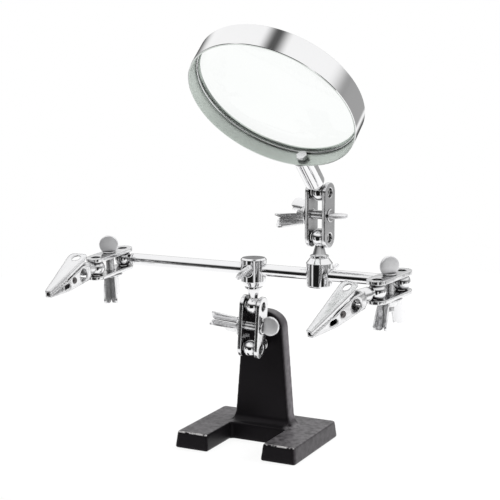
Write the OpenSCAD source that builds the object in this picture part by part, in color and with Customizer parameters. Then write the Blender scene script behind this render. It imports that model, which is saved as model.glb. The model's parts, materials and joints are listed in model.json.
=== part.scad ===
// Helping hands clamp: iron base, ball-jointed cross arm, two crocodile clips and a magnifier.
// Millimetres. +X runs from the left foot to the right foot, +Y to the back, +Z up.
// The origin lies on the underside of the base, below the middle of the upright.

/* [Base casting] */
// Width across both feet
base_w = 78; // [70:1:92]
// Depth from the front of the feet to the back edge
base_d = 62.6; // [58:0.2:74]
// Height of the feet
foot_h = 10; // [8:0.5:14]
// Width of the gap between the feet
notch_w = 34; // [28:1:38]
// Depth of the gap between the feet
notch_d = 31; // [26:1:34]
// How far each casting wall leans in over the height of the feet
draft = 1.15; // [0.6:0.05:1.6]
// Radius of the upright corners of the feet
foot_corner_r = 1.6; // [1:0.1:3]
// Distance from the back edge to the middle of the upright
upright_back = 20.7; // [17:0.1:25]
// Thickness of the upright
upright_t = 9.8; // [8.5:0.1:12]
// Half width of the upright's round top
upright_r = 13; // [11:0.2:16]
// Height of the centre of the round top
upright_top_h = 69.2; // [64:0.2:80]
// Height of the round top above that centre
crown_h = 9.8; // [8:0.2:12]
// Angle that each side of the upright leans in
upright_taper = 4.6; // [2:0.2:6]
// Radius of the fillet where the upright meets the feet
upright_fillet = 5; // [3:0.2:6]

/* [Balls and studs] */
// Diameter of every ball
ball_d = 10; // [9.4:0.1:10.8]
// Diameter of the neck behind a ball
neck_d = 5; // [4.2:0.1:5.4]
// Diameter of a stud's shank
shank_d = 4.6; // [4:0.1:4.8]
// Length of a stud's shank in its socket
shank_l = 5; // [4:0.2:6]
// Thickness of the collar that a stud seats on
stud_collar_t = 1.4; // [1:0.1:2]
// Height of the ball on the base
base_ball_h = 59.3; // [54:0.1:64]
// Distance from the upright's front face to its ball
base_reach = 13.6; // [13:0.1:16]
// Diameter of the collar on the base stud
base_collar_d = 9; // [8:0.1:11]

/* [Ball clamps] */
// Distance between the two balls in a clamp
ball_span = 25.4; // [24:0.2:30]
// Width of a clamp plate
plate_w = 11.5; // [10.8:0.1:12.6]
// Thickness of a clamp plate
plate_t = 2.2; // [1.6:0.1:3]
// Diameter of the hole that a ball sits in
seat_d = 5.4; // [4.8:0.1:6]

/* [Thumbscrews and wing nuts] */
// Diameter of the screws
screw_d = 5; // [4:0.1:5.4]
// Diameter of a thumbscrew's flat head
head_d = 11.2; // [10:0.1:13]
// Thickness of a thumbscrew's flat head
head_t = 2.6; // [2:0.1:3.4]
// Diameter of the collar under the head
collar_d = 7.4; // [6.4:0.1:9]
// Thickness of the collar under the head
collar_t = 0.8; // [0.6:0.1:2]
// Depth of the flat at the foot of the head
head_flat = 1.7; // [0.8:0.1:2.4]
// Distance that the centre clamp's head sits off its screw's line
head_aside = 1.9; // [0:0.1:2]
// Diameter of a wing nut's flange
flange_d = 14; // [12:0.1:15]
// Thickness of a wing nut's flange
flange_t = 1; // [0.8:0.1:1.4]
// Diameter of a wing nut's hub
hub_d = 8.4; // [7:0.1:9]
// Height of a wing nut's hub
hub_h = 4; // [3:0.1:6]
// Height of a wing nut over its ears
wing_h = 16.6; // [14:0.1:18]
// Distance from a wing nut's axis to the fold of an ear
fold_r = 4.6; // [4.2:0.1:5.4]
// Half of the angle between the two leaves of an ear
fold_angle = 33; // [20:1:40]
// Outward lean of an ear
wing_lean = 13; // [8:0.5:15]
// Width of a leaf at its tip
leaf_w = 7.2; // [6:0.1:7.6]
// Thickness of a leaf
leaf_t = 0.9; // [0.7:0.05:1.2]
// Length of screw that shows past a wing nut's hub
screw_tail = 3.4; // [1:0.2:5]

/* [Cross arm] */
// Diameter of the rod
rod_d = 7; // [6:0.1:7.6]
// Distance from a block's bore to its ball
stem_h = 21.4; // [20.6:0.2:25]
// Diameter of a block
block_d = 15; // [13.6:0.1:17]
// Height of a block's straight body
block_h = 13.6; // [12:0.1:15]
// Height of the cone at a block's ball end
nose_h = 3; // [2:0.1:3.6]
// Diameter of a block at the small end of its cone
nose_d = 10.4; // [9:0.1:11.4]
// Distance along the rod from the cross block to the left ball
rod_left = 88.7; // [80:0.1:110]
// Distance along the rod from the cross block to the right ball
rod_right = 90.2; // [84:0.1:115]
// Distance along the rod from the cross block to the magnifier block
mag_at = 41.3; // [36:0.1:50]
// Distance from a rod ball to the end of the rod
rod_reach = 8; // [7.4:0.1:10]
// Distance that the magnifier block's thumbscrew stands off its block
mag_screw_out = 4.6; // [0:0.1:5.4]

/* [Magnifier] */
// Outer radius of the rim
rim_r = 46.5; // [42:0.5:52]
// Width of the rim band
rim_w = 13.5; // [12.6:0.1:15]
// Thickness of the rim band
rim_t = 0.9; // [0.7:0.1:1.2]
// Distance from the handle's ball to the rim
handle_l = 29; // [26:0.2:36]
// Diameter of the handle
handle_d = 11; // [9.6:0.1:12]
// Distance from the handle's ball to the handle
handle_reach = 7.4; // [7:0.1:9]
// Distance between the middle of the rim and the handle's axis
handle_offset = 1.8; // [1.6:0.1:2]
// Thickness of the lens at its edge
lens_edge_t = 2; // [1.6:0.1:2.2]
// Radius of curvature of the lens faces
lens_curve = 320; // [260:10:500]
// Distance from the middle of the rim to the middle of the lens edge
lens_offset = 3.2; // [3.1:0.1:3.4]
// Diameter of the wire ring in front of the lens
ring_wire = 0.9; // [0.7:0.1:1]
// Width over the flats of the screw head inside the rim
rim_hex = 5.8; // [5:0.1:6]
// Height of that screw head
rim_hex_h = 2.2; // [1.6:0.1:3]
// Diameter of the rim screw
rim_screw_d = 3.4; // [2.6:0.1:3.6]

/* [Crocodile clips] */
// Distance from a clip's ball to its barrel
clip_reach = 7; // [6.8:0.1:8.5]
// Outer diameter of the barrel
barrel_d = 7.6; // [7:0.1:7.8]
// Distance from the ball to the bend behind the jaws
clip_bend_at = 12.9; // [12.2:0.1:14.5]
// Angle between the barrel and the jaws
clip_bend = 14.3; // [8:0.1:16]
// Length of the jaws from the bend to the nose
jaw_l = 40; // [38:0.1:44]
// Width over the lower jaw at its pivot
jaw_w = 8.2; // [8:0.1:9]
// Width over the lower jaw at its nose
nose_w = 3.4; // [3:0.1:4.2]
// Thickness of the jaw sheet
sheet_t = 0.8; // [0.6:0.05:0.9]
// Distance from the bend to the pivot
pivot_at = 18.3; // [17.6:0.1:19.2]
// Depth of the pivot below the barrel's line
pivot_drop = 0.9; // [0.6:0.1:1.2]
// Diameter of the pivot pin
pin_d = 2.2; // [1.8:0.1:2.4]
// Distance from the bend to the thumb tab's hole
tab_at = 8.1; // [7.4:0.1:8.8]
// Height of the thumb tab above the barrel's line
tab_h = 9.3; // [8.8:0.1:10]
// Width of the thumb tab
tab_w = 11.6; // [11.2:0.1:12.4]
// Diameter of the hole in the thumb tab
tab_hole_d = 5; // [4:0.1:6]
// Distance from that hole to the end of the thumb tab
tab_end = 4.2; // [3.6:0.1:5]
// Diameter of the window behind the pivot
window_d = 7.4; // [6:0.1:7.6]
// Pitch of the teeth
tooth_pitch = 2; // [1.6:0.1:2.4]
// Number of teeth along each side of a jaw
tooth_count = 7; // [5:1:7]
// Depth of the teeth
tooth_h = 0.7; // [0.4:0.05:0.9]
// Diameter of the spring wire
wire_d = 0.7; // [0.5:0.05:0.75]
// Distance between neighbouring turns of the spring
wire_pitch = 1.15; // [1.1:0.01:1.2]

/* [Pose] */
// Lean of the centre clamp to the right
centre_lean = 3.2; // [-8:0.1:8]
// Turn of the magnifier clamp about its stud
mag_yaw = -5; // [-30:1:30]
// Lean of the magnifier towards the front
handle_tilt = 45.8; // [20:0.1:70]
// Lean of the magnifier to the right
handle_roll = 2.1; // [-4:0.1:4]
// Angle of the left end clamp to the rod
left_yaw = 83.7; // [60:0.1:100]
// Droop of the left end clamp's front
left_droop = 5.3; // [-6:0.1:10]
// Turn of the left clip away from its clamp
left_clip_turn = 8.5; // [-30:0.1:30]
// Downward lean of the left clip
left_clip_lean = -11.2; // [-11.2:0.1:11.2]
// Angle of the right end clamp to the rod
right_yaw = 79.4; // [60:0.1:100]
// Droop of the right end clamp's front
right_droop = 3.2; // [-6:0.1:10]
// Turn of the right clip away from its clamp
right_clip_turn = -11.1; // [-30:0.1:30]
// Downward lean of the right clip
right_clip_lean = 1.4; // [-11.2:0.1:11.2]
// Turn of the centre clamp's thumbscrew
centre_screw_turn = 90; // [0:1:180]
// Turn of the centre clamp's wing nut
centre_nut_turn = 70; // [0:1:180]
// Turn of the cross block's thumbscrew
cross_screw_turn = 45; // [-90:1:90]
// Turn of the magnifier block's thumbscrew
mag_block_screw_turn = -42; // [-90:1:90]
// Turn of the magnifier clamp's thumbscrew
mag_screw_turn = 0; // [0:1:180]
// Turn of the magnifier clamp's wing nut
mag_nut_turn = 105; // [0:1:180]
// Turn of the left end clamp's thumbscrew
left_screw_turn = 35; // [0:1:180]
// Turn of the left end clamp's wing nut
left_nut_turn = 35; // [0:1:180]
// Turn of the right end clamp's thumbscrew
right_screw_turn = 60; // [0:1:180]
// Turn of the right end clamp's wing nut
right_nut_turn = 7; // [0:1:180]

/* [Fits] */
// Clearance between a ball and the edge of its seat
seat_gap = 0.06; // [0.03:0.01:0.1]
// Radial clearance of screws in plates
screw_gap = 0.1; // [0.05:0.01:0.15]
// Radial clearance of screws in their threads
thread_gap = 0.06; // [0.03:0.01:0.09]
// Radial clearance of shanks, pins and the rod in their bores
bore_gap = 0.05; // [0.03:0.01:0.09]
// Play between flat faces that turn on each other
face_gap = 0.05; // [0.02:0.01:0.1]

/* [Hidden] */
$fn = 64;
cut = 0.5;
CHROME = "silver";
PAINT = "#1c1b1d";
STEEL = "lightgrey";
DARK = "dimgrey";

ball_r = ball_d / 2;
ball_y = -upright_t / 2 - base_reach;
base_front = upright_back - base_d;
seat_depth = sqrt(pow(ball_r, 2) - pow(seat_d / 2, 2)) + seat_gap;
plate_out = seat_depth + plate_t;
stud_reach = stem_h - block_h / 2 - nose_h;
socket_r = shank_d / 2 + bore_gap;
screw_hole_r = screw_d / 2 + screw_gap;
thread_r = screw_d / 2 + thread_gap;
lens_r = rim_r - rim_t - bore_gap;
function sag(r) = lens_curve - sqrt(pow(lens_curve, 2) - pow(r, 2));
lens_sag = sag(lens_r);
lens_mid_h = handle_l + rim_r;
nose_lip = 0.6;
jaw_front = jaw_l - nose_lip;
nose_top = -0.4;
nose_mouth = -2.6;
nose_floor = -4.2;
mouth_slope = 0.235;
mouth_gap = 0.24;
top_slope = (tab_h - nose_top) / (jaw_l - tab_at);
floor_drop = 4.6;
jaw_floor = -pivot_drop - floor_drop;
taper_at = pivot_at + 3;
floor_end = pivot_at + 7;
inner_half = jaw_w / 2 - sheet_t;
ear_out = inner_half - 3 * face_gap;
ear_in = ear_out - sheet_t;
flange_depth = 2.6;
coil_play = 0.45;
coil_r = pin_d / 2 + coil_play + wire_d / 2;

// Places, from the base outwards

module at_base_ball() {
    translate([0, ball_y, base_ball_h]) children();
}

module in_centre_clamp() {
    at_base_ball() rotate([0, centre_lean, 0]) children();
}

module at_cross_ball() {
    in_centre_clamp() translate([0, 0, ball_span]) rotate([0, -centre_lean, 0]) children();
}

module at_cross_block() {
    at_cross_ball() translate([0, 0, stem_h]) children();
}

module on_rod(along) {
    at_cross_block() translate([along, 0, 0]) children();
}

module at_mag_ball() {
    on_rod(mag_at) translate([0, 0, stem_h]) children();
}

module in_mag_clamp() {
    at_mag_ball() rotate([0, 0, mag_yaw]) children();
}

// Along +Z from the handle's ball to the lens, with +Y towards the far face of the lens
module in_magnifier() {
    in_mag_clamp() translate([0, 0, ball_span]) rotate([handle_tilt, handle_roll, 0]) children();
}

// An end clamp's +Z runs from the rod's ball to the clip's ball, and its +X points up
module end_clamp(along, droop, yaw) {
    on_rod(along) rotate([droop, 0, 0]) rotate([0, -90, yaw]) children();
}

module in_left_clamp() {
    end_clamp(-rod_left, left_droop, left_yaw) children();
}

module in_right_clamp() {
    end_clamp(rod_right, right_droop, right_yaw) children();
}

// A clip's +X runs from its ball to its barrel, and its +Z points up
module clip_place(turn, lean) {
    translate([0, 0, ball_span]) rotate([turn, 0, 0]) rotate([180, -90, 0])
        rotate([0, lean, 0]) children();
}

module in_left_clip() {
    in_left_clamp() clip_place(left_clip_turn, left_clip_lean) children();
}

module in_right_clip() {
    in_right_clamp() clip_place(right_clip_turn, right_clip_lean) children();
}

// Shared shapes

// Ball at the origin, with its neck, collar and shank along +Z; the collar seats at reach
module ball_stud(reach, wide) {
    seat = reach - face_gap;
    neck_end = seat - stud_collar_t;
    sphere(r = ball_r);
    cylinder(r = neck_d / 2, h = neck_end);
    translate([0, 0, ball_r])
        cylinder(r1 = neck_d / 2, r2 = max(neck_d / 2, wide * 0.38), h = max(neck_end - ball_r, 0.01));
    translate([0, 0, neck_end]) cylinder(r = wide / 2, h = stud_collar_t);
    cylinder(r = shank_d / 2, h = reach + shank_l);
}

// Plate of a ball clamp, its inner face at seat_depth on the +X side, long axis along +Z
module clamp_plate() {
    translate([seat_depth, 0, 0]) rotate([90, 0, 90]) linear_extrude(plate_t) difference() {
        union() {
            translate([-plate_w / 2, 0]) square([plate_w, ball_span]);
            for (end = [0, ball_span]) translate([0, end]) circle(d = plate_w);
        }
        for (end = [0, ball_span]) translate([0, end]) circle(d = seat_d);
        translate([0, ball_span / 2]) circle(r = screw_hole_r);
    }
}

// Thumbscrew along +X: collar on the face at seat, flat round head beyond it, screw end at tip
module thumbscrew(seat, tip, turn, aside) {
    foot = seat + face_gap;
    top = foot + collar_t;
    edge = 0.4;
    rotate([turn, 0, 0]) {
        translate([tip, 0, 0]) rotate([0, 90, 0]) cylinder(d = screw_d, h = foot - tip);
        translate([foot, 0, 0]) rotate([0, 90, 0]) cylinder(d = collar_d, h = collar_t);
        intersection() {
            translate([top + head_d / 2 - head_flat, aside, 0]) rotate_extrude()
                polygon([[0, -head_t / 2], [head_d / 2 - edge, -head_t / 2],
                         [head_d / 2, -head_t / 2 + edge], [head_d / 2, head_t / 2 - edge],
                         [head_d / 2 - edge, head_t / 2], [0, head_t / 2]]);
            translate([top - face_gap, -head_d, -head_d]) cube([2 * head_d, 2 * head_d, 2 * head_d]);
        }
    }
}

// Pressed wing nut on the -X face of a clamp: flange, hub, and two ears of two folded leaves each
module wing_nut(seat, turn) {
    rotate([turn, 0, 0]) translate([-seat - face_gap, 0, 0]) rotate([0, -90, 0]) difference() {
        union() {
            cylinder(d = flange_d, h = flange_t);
            cylinder(d1 = hub_d + 1, d2 = hub_d, h = hub_h);
            for (side = [0, 180], fold = [-1, 1]) rotate([0, 0, side]) translate([fold_r, 0, 0])
                rotate([0, wing_lean, 0]) rotate([90, 0, fold * fold_angle])
                    linear_extrude(leaf_t, center = true) wing_leaf();
        }
        translate([0, 0, -cut]) cylinder(r = thread_r, h = hub_h + 2 * cut);
    }
}

// Outline of one leaf, with its fold along Y
module wing_leaf() {
    tip_r = leaf_w * 0.3;
    shoulder = wing_h - tip_r;
    foot_w = leaf_w * 0.6;
    polygon([[0, flange_t / 2], [foot_w, flange_t / 2 + foot_w * tan(wing_lean)], [leaf_w, shoulder],
             [leaf_w - tip_r, wing_h], [tip_r, wing_h], [0, shoulder]]);
    for (x = [tip_r, leaf_w - tip_r]) translate([x, shoulder]) circle(r = tip_r, $fn = 32);
}

// Round block drilled for the rod along X, its ball end down and its screw at the front
module rod_block() {
    bevel = 0.9;
    difference() {
        rotate_extrude() polygon([[0, block_h / 2], [block_d / 2 - bevel, block_h / 2],
            [block_d / 2, block_h / 2 - bevel], [block_d / 2, -block_h / 2],
            [nose_d / 2, -block_h / 2 - nose_h], [0, -block_h / 2 - nose_h]]);
        translate([-block_d, 0, 0]) rotate([0, 90, 0])
            cylinder(r = rod_d / 2 + bore_gap, h = 2 * block_d);
        rotate([90, 0, 0]) cylinder(r = thread_r, h = block_d);
        translate([0, 0, -block_h / 2 - nose_h - cut])
            cylinder(r = socket_r, h = shank_l + bore_gap + cut);
    }
}

// Set screw of a block, from the rod out to the front, standing off the block by out
module block_thumbscrew(turn, out) {
    rotate([0, 0, -90]) thumbscrew(block_d / 2 + out, rod_d / 2 + bore_gap, turn, 0);
}

// Crocodile clip, in the jaws' own plane: X to the nose, Z up, from the bend behind the jaws

module in_jaws() {
    translate([clip_bend_at, 0, 0]) rotate([0, clip_bend, 0]) children();
}

function mouth(x) = nose_mouth + mouth_slope * (jaw_l - x);
function top(x) = nose_top + top_slope * (jaw_l - x);
floor_slope = (nose_floor - jaw_floor) / (jaw_l - floor_end);
function floor_at(x) = jaw_floor + max(x - floor_end, 0) * floor_slope;

// Toothed edge from the nose back, shifted up by rise
function teeth(rise) = [for (i = [0 : 2 * tooth_count])
    let (x = jaw_front - i * tooth_pitch / 2)
    [x, mouth(x) + rise + (i % 2 == 0 ? -tooth_h / 2 : tooth_h / 2)]];
tooth_end = jaw_front - tooth_count * tooth_pitch;

module side_view(width) {
    rotate([90, 0, 0]) linear_extrude(width, center = true) children();
}

module plan_view(high) {
    translate([0, 0, -high / 2]) linear_extrude(high) children();
}

// Half outline from above, wide at the pivot and narrow at the nose
module lower_plan(inset) {
    wide = jaw_w / 2 - inset;
    narrow = nose_w / 2 - inset;
    polygon([[-cut, -wide], [taper_at, -wide], [jaw_l + cut, -narrow],
             [jaw_l + cut, narrow], [taper_at, wide], [-cut, wide]]);
}

module upper_plan(inset) {
    wide = tab_w / 2 - inset;
    overhang = 0.1;
    narrow = nose_w / 2 + overhang - inset;
    rear = tab_at - tab_end + inset;
    corner = 0.24 * tab_w - inset;
    for (side = [-1, 1]) translate([rear + corner, side * (wide - corner)]) circle(r = corner);
    polygon([[rear, corner - wide], [rear + corner, -wide], [tab_at, -wide], [jaw_l, -narrow],
             [jaw_l, narrow], [tab_at, wide], [rear + corner, wide], [rear, wide - corner]]);
}

// Side of the lower jaw: its top edge stays below the upper jaw's flange, also when that opens
module lower_side() {
    ear = pin_d / 2 + 2.1;
    wall = barrel_d / 2 - 0.4;
    crimp = 2.5;
    step = 0.4;
    crest = pivot_at - tab_at;
    brow = pivot_at + 1.2 * ear;
    slot_r = 1.4;
    slot_l = 2.4;
    difference() {
        union() {
            polygon(concat([[0, wall], [0, -wall], [crimp, jaw_floor], [floor_end, jaw_floor],
                [jaw_l, floor_at(jaw_l)], [jaw_l, mouth(jaw_l) - mouth_gap]],
                teeth(-mouth_gap / 2),
                [[tooth_end - step, mouth(tooth_end) - step], [brow, mouth(brow) - step / 2],
                 [pivot_at, ear - pivot_drop], [pivot_at - ear, ear], [pivot_at - 0.6 * crest, wall],
                 [tab_at, wall + 2 * step]]));
            translate([pivot_at, -pivot_drop]) circle(r = ear);
        }
        translate([floor_end - slot_l / 2, -pivot_drop - slot_r]) {
            for (x = [0, slot_l]) translate([x, 0]) circle(r = slot_r);
            translate([0, -slot_r]) square([slot_l, 2 * slot_r]);
        }
        translate([tab_at, jaw_floor + sheet_t + window_d / 2 + face_gap]) circle(d = window_d);
        translate([pivot_at, -pivot_drop]) circle(r = pin_d / 2 + bore_gap);
    }
}

module lower_void() {
    high = 3 * tab_h;
    beyond = jaw_l + 2 * cut;
    polygon([[-2 * cut, jaw_floor + sheet_t], [floor_end, jaw_floor + sheet_t],
             [beyond, floor_at(beyond) + sheet_t], [beyond, high], [-2 * cut, high]]);
}

module lower_jaw() {
    overlap = 2.6;
    difference() {
        union() {
            translate([clip_reach, 0, 0]) rotate([0, 90, 0])
                cylinder(d = barrel_d, h = clip_bend_at - clip_reach + overlap);
            in_jaws() difference() {
                intersection() {
                    side_view(2 * jaw_w) lower_side();
                    plan_view(6 * tab_h) lower_plan(0);
                }
                intersection() {
                    side_view(2 * jaw_w) lower_void();
                    plan_view(8 * tab_h) lower_plan(sheet_t);
                }
            }
        }
        translate([clip_reach - cut, 0, 0]) rotate([0, 90, 0])
            cylinder(r = socket_r, h = shank_l + bore_gap + cut);
    }
}

module upper_side() {
    start = tab_at - cut;
    slant = 2;
    polygon(concat([[start, top(start)], [jaw_l, top(jaw_l)], [jaw_l, mouth(jaw_l) + mouth_gap]],
        teeth(mouth_gap / 2),
        [[tooth_end - 2 * cut, top(tooth_end) - flange_depth],
         [start + slant, top(start + slant) - flange_depth], [start, top(start) - sheet_t]]));
}

module upper_sheet() {
    polygon([[0, top(0)], [jaw_l, top(jaw_l)], [jaw_l, top(jaw_l) - sheet_t], [0, top(0) - sheet_t]]);
}

module upper_ear() {
    round = pin_d / 2 + 0.8;
    front = pivot_at + 4;
    back = pivot_at - 2.4;
    difference() {
        union() {
            translate([pivot_at, -pivot_drop]) circle(r = round);
            polygon([[pivot_at - round, -pivot_drop], [pivot_at + round, -pivot_drop],
                     [front, top(front) - sheet_t / 2], [back, top(back) - sheet_t / 2]]);
        }
        translate([pivot_at, -pivot_drop]) circle(r = pin_d / 2 + bore_gap);
    }
}

module upper_jaw() {
    in_jaws() {
        intersection() {
            side_view(2 * tab_w) upper_side();
            plan_view(6 * tab_h) difference() {
                upper_plan(0);
                upper_plan(sheet_t);
            }
        }
        difference() {
            intersection() {
                side_view(2 * tab_w) upper_sheet();
                plan_view(6 * tab_h) upper_plan(0);
            }
            translate([tab_at, 0, 0]) cylinder(d = tab_hole_d, h = 2 * tab_h);
        }
        for (side = [-1, 1]) translate([0, side * (ear_in + ear_out) / 2, 0])
            side_view(ear_out - ear_in) upper_ear();
    }
}

module pivot_pin() {
    head_h = 0.8;
    head_foot = 0.9;
    head_top = 0.3;
    in_jaws() translate([pivot_at, 0, -pivot_drop]) rotate([90, 0, 0]) {
        cylinder(d = pin_d, h = jaw_w + 2 * head_h, center = true);
        for (side = [0, 180]) rotate([side, 0, 0]) translate([0, 0, jaw_w / 2 + face_gap / 2])
            cylinder(r1 = pin_d / 2 + head_foot, r2 = pin_d / 2 + head_top, h = head_h);
    }
}

// Torsion spring on the pin: a leg along the floor, the turns, and a leg up under the thumb tab

floor_lean = 7;
turn_start = 270 + floor_lean;
leg_angle = 129;
turn_end = leg_angle - 90 + 4 * 360;
turn_rings = ceil((turn_end - turn_start) / 45);
coil_wide = wire_pitch * (turn_end - turn_start) / 360;
floor_leg = pivot_at - tab_at;

function coil_angle(i) = turn_start + (turn_end - turn_start) * i / turn_rings;
function coil_point(a) = [pivot_at + coil_r * cos(a),
    coil_wide * ((a - turn_start) / (turn_end - turn_start) - 0.5), -pivot_drop + coil_r * sin(a)];
// Length of the upper leg: it stops short of the sheet above it by the wire and a clearance
leg_room = sheet_t + wire_d / 2 + 3 * face_gap;
leg_from = coil_point(turn_end);
tab_leg = (top(leg_from[0]) - leg_room - leg_from[2]) / (sin(leg_angle) + top_slope * cos(leg_angle));
spring_path = concat(
    [for (along = [floor_leg, wire_d])
        coil_point(turn_start) - along * [cos(floor_lean), 0, sin(floor_lean)]],
    [for (i = [0 : turn_rings]) coil_point(coil_angle(i))],
    [leg_from + wire_d * [cos(leg_angle), 0, sin(leg_angle)],
     leg_from + tab_leg * [cos(leg_angle), 0, sin(leg_angle)]]);
function ring_angle(i) = coil_angle(max(0, min(turn_rings, i - 2)));
wire_sides = 6;
spring_points = [for (i = [0 : len(spring_path) - 1], k = [0 : wire_sides - 1])
    let (a = ring_angle(i), b = 360 * k / wire_sides)
    spring_path[i] + wire_d / 2 * (cos(b) * [cos(a), 0, sin(a)] + sin(b) * [0, 1, 0])];
last_ring = (len(spring_path) - 1) * wire_sides;
spring_faces = concat(
    [for (i = [0 : len(spring_path) - 2], k = [0 : wire_sides - 1])
        let (n = (k + 1) % wire_sides, p = i * wire_sides, q = p + wire_sides) [p + k, q + k, q + n]],
    [for (i = [0 : len(spring_path) - 2], k = [0 : wire_sides - 1])
        let (n = (k + 1) % wire_sides, p = i * wire_sides, q = p + wire_sides) [p + k, q + n, p + n]],
    [for (k = [1 : wire_sides - 2]) [0, k, k + 1]],
    [for (k = [1 : wire_sides - 2]) [last_ring, last_ring + k + 1, last_ring + k]]);
spring_self_gap = min([for (i = [0 : len(spring_path) - 1], j = [i + 5 : 1 : len(spring_path) - 1])
    norm(spring_path[i] - spring_path[j])]) - wire_d;
echo(spring_self_gap = spring_self_gap);

module torsion_spring() {
    in_jaws() polyhedron(spring_points, spring_faces);
}

// Pieces

module base_casting() {
    color(PAINT) difference() {
        union() {
            feet();
            upright();
        }
        translate([0, -upright_t / 2 - cut, base_ball_h]) rotate([-90, 0, 0])
            cylinder(r = socket_r, h = shank_l + bore_gap + cut);
    }
}

// Rectangle with round corners, from its left front corner
module round_rect(w, d, r) {
    for (x = [r, w - r], y = [r, d - r]) translate([x, y]) circle(r = r, $fn = 32);
}

module feet() {
    layer = 0.01;
    difference() {
        hull() {
            translate([-base_w / 2, base_front, 0]) linear_extrude(layer)
                round_rect(base_w, base_d, foot_corner_r);
            translate([-base_w / 2 + draft, base_front + draft, foot_h - layer]) linear_extrude(layer)
                round_rect(base_w - 2 * draft, base_d - 2 * draft, foot_corner_r);
        }
        hull() {
            translate([-notch_w / 2, base_front - notch_d, -layer]) linear_extrude(layer)
                round_rect(notch_w, 2 * notch_d, foot_corner_r);
            translate([-notch_w / 2 - draft, base_front - notch_d, foot_h]) linear_extrude(layer)
                round_rect(notch_w + 2 * draft, 2 * notch_d + draft, foot_corner_r);
        }
    }
}

module upright() {
    touch = atan(crown_h / upright_r * tan(upright_taper));
    touch_x = upright_r * cos(touch);
    touch_z = upright_top_h + crown_h * sin(touch);
    foot_x = touch_x + (touch_z - foot_h) * tan(upright_taper);
    sink = foot_h / 2;
    translate([0, upright_t / 2, 0]) rotate([90, 0, 0]) linear_extrude(upright_t) {
        translate([0, upright_top_h]) scale([1, crown_h / upright_r]) circle(r = upright_r);
        polygon([[-foot_x, foot_h], [-touch_x, touch_z], [touch_x, touch_z], [foot_x, foot_h],
                 [foot_x, sink], [-foot_x, sink]]);
        for (side = [-1, 1]) scale([side, 1]) translate([foot_x, foot_h]) cove();
    }
    for (face = [0, 180]) rotate([0, 0, face]) translate([-foot_x, 0, 0]) rotate([90, 0, 90])
        linear_extrude(2 * foot_x) translate([upright_t / 2, foot_h]) cove();
}

// Hollow fillet in the corner of two walls, sunk a little into both
module cove() {
    lean = upright_fillet * tan(upright_taper);
    difference() {
        translate([-lean - cut, -cut])
            square([upright_fillet + lean + cut, upright_fillet + cut]);
        translate([upright_fillet, upright_fillet]) circle(r = upright_fillet);
    }
}

module base_ball_stud() {
    color(CHROME) at_base_ball() rotate([-90, 0, 0]) ball_stud(base_reach, base_collar_d);
}

module centre_plate_left() {
    color(STEEL) in_centre_clamp() mirror([1, 0, 0]) clamp_plate();
}

module centre_plate_right() {
    color(STEEL) in_centre_clamp() clamp_plate();
}

module clamp_screw(turn, aside) {
    translate([0, 0, ball_span / 2])
        thumbscrew(plate_out, -plate_out - face_gap - hub_h - screw_tail, turn, aside);
}

module clamp_nut(turn) {
    translate([0, 0, ball_span / 2]) wing_nut(plate_out, turn);
}

module centre_thumbscrew() {
    color(CHROME) in_centre_clamp() clamp_screw(centre_screw_turn, head_aside);
}

module centre_wing_nut() {
    color(CHROME) in_centre_clamp() clamp_nut(centre_nut_turn);
}

module cross_ball_stud() {
    color(CHROME) at_cross_ball() ball_stud(stud_reach, nose_d);
}

module cross_block() {
    color(CHROME) at_cross_block() rod_block();
}

module cross_thumbscrew() {
    color(CHROME) at_cross_block() block_thumbscrew(cross_screw_turn, 0);
}

module main_rod() {
    ends = [-rod_left + rod_reach, rod_right - rod_reach];
    color(CHROME) at_cross_block() difference() {
        translate([ends[0], 0, 0]) rotate([0, 90, 0]) cylinder(d = rod_d, h = ends[1] - ends[0]);
        for (x = [ends[0], ends[1] - shank_l - bore_gap])
            translate([x - (x < 0 ? cut : 0), 0, 0]) rotate([0, 90, 0])
                cylinder(r = socket_r, h = shank_l + bore_gap + cut);
    }
}

module left_rod_ball() {
    color(CHROME) on_rod(-rod_left) rotate([0, 90, 0]) ball_stud(rod_reach, rod_d);
}

module right_rod_ball() {
    color(CHROME) on_rod(rod_right) rotate([0, -90, 0]) ball_stud(rod_reach, rod_d);
}

module mag_block() {
    color(CHROME) on_rod(mag_at) rotate([180, 0, 0]) rod_block();
}

module mag_thumbscrew() {
    color(CHROME) on_rod(mag_at) rotate([180, 0, 0]) block_thumbscrew(mag_block_screw_turn, mag_screw_out);
}

module mag_ball_stud() {
    color(CHROME) at_mag_ball() rotate([180, 0, 0]) ball_stud(stud_reach, nose_d);
}

module mag_plate_left() {
    color(STEEL) in_mag_clamp() mirror([1, 0, 0]) clamp_plate();
}

module mag_plate_right() {
    color(STEEL) in_mag_clamp() clamp_plate();
}

module mag_clamp_thumbscrew() {
    color(CHROME) in_mag_clamp() clamp_screw(mag_screw_turn, 0);
}

module mag_wing_nut() {
    color(CHROME) in_mag_clamp() clamp_nut(mag_nut_turn);
}

module handle_ball_stud() {
    color(CHROME) in_magnifier() ball_stud(handle_reach, handle_d * 0.7);
}

// Places a shape about the lens's axis, with its Z along that axis towards the far face
module on_lens_axis() {
    in_magnifier() translate([0, handle_offset, lens_mid_h]) rotate([-90, 0, 0]) children();
}

module handle_sleeve() {
    bevel = 1.6;
    length = handle_l - handle_reach;
    spare = 2;
    color(CHROME) difference() {
        in_magnifier() translate([0, 0, handle_reach]) difference() {
            union() {
                cylinder(d1 = handle_d - 2 * bevel, d2 = handle_d, h = bevel);
                translate([0, 0, bevel]) cylinder(d = handle_d, h = length - bevel + spare);
            }
            translate([0, 0, -cut]) cylinder(r = socket_r, h = shank_l + bore_gap + cut);
            translate([0, 0, length / 2]) cylinder(d = rim_screw_d + 2 * bore_gap, h = length);
        }
        on_lens_axis() cylinder(r = rim_r, h = 2 * rim_w, center = true, $fn = 180);
    }
}

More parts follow.
